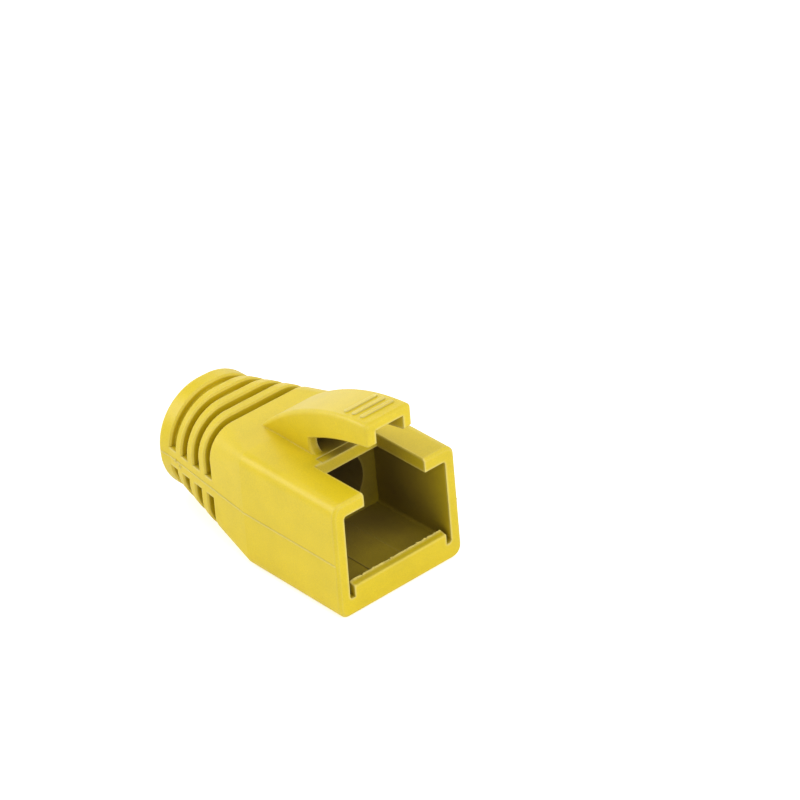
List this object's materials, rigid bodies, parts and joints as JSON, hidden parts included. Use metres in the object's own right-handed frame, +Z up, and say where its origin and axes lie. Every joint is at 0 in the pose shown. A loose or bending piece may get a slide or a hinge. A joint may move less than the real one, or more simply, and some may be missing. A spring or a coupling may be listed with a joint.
{
  "type": "rj45 strain relief boot",
  "caption": "Strain relief boot for a modular data plug: one soft moulding with a notched open mouth, a grooved oval cable neck and an arched latch guard with grip ridges.",
  "frame": {"origin": "under the middle of the boot, on the flat surface that it rests on", "axes": "+Y runs from the open mouth to the cable end, +Z is up towards the latch guard, +X is across"},
  "size_m": [0.0146, 0.0268, 0.0183],
  "materials": {
    "soft_pvc": "yellow soft PVC with a fine satin grain, as moulded"
  },
  "bodies": {
    "root": {"boot": "soft_pvc"}
  },
  "joints": []
}
